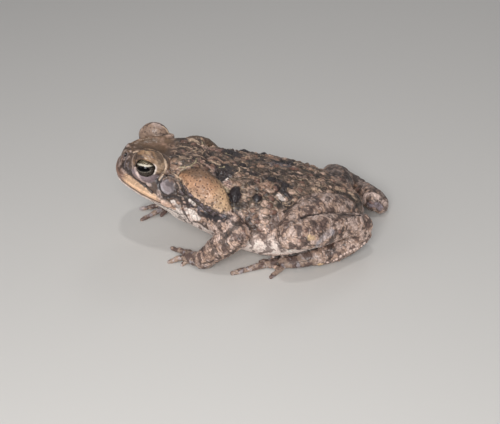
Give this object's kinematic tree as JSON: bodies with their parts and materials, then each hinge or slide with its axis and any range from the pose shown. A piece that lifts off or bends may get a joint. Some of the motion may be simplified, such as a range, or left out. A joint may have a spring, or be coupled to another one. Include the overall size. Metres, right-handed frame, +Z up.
{
  "type": "cane toad",
  "caption": "Life-size still model of an adult cane toad sitting with raised head, arms forward and hind legs folded, resting on flat soles and belly.",
  "frame": {"origin": "on the floor, under the middle of the box round the whole toad", "axes": "+Z up, +Y from the snout towards the rump, +X to the toad's left"},
  "size_m": [0.1222, 0.1418, 0.0605],
  "materials": {
    "skin": "moist, warty skin, olive brown to pink tan with dark mottling and a pale belly",
    "gland": "smooth orange tan with dark pores",
    "eardrum": "smooth lilac grey",
    "eye": "wet gloss, olive grey iris with a gold band and a dark level pupil"
  },
  "bodies": {
    "root": {"head": "skin", "torso": "skin", "eye_left": "eye", "tympanum_left": "eardrum", "parotoid_left": "gland", "upper_arm_left": "skin", "forearm_left": "skin", "hand_left": "skin", "thigh_left": "skin", "shank_left": "skin", "tarsus_left": "skin", "foot_left": "skin", "eye_right": "eye", "tympanum_right": "eardrum", "parotoid_right": "gland", "upper_arm_right": "skin", "forearm_right": "skin", "hand_right": "skin", "thigh_right": "skin", "shank_right": "skin", "tarsus_right": "skin", "foot_right": "skin"}
  },
  "joints": []
}
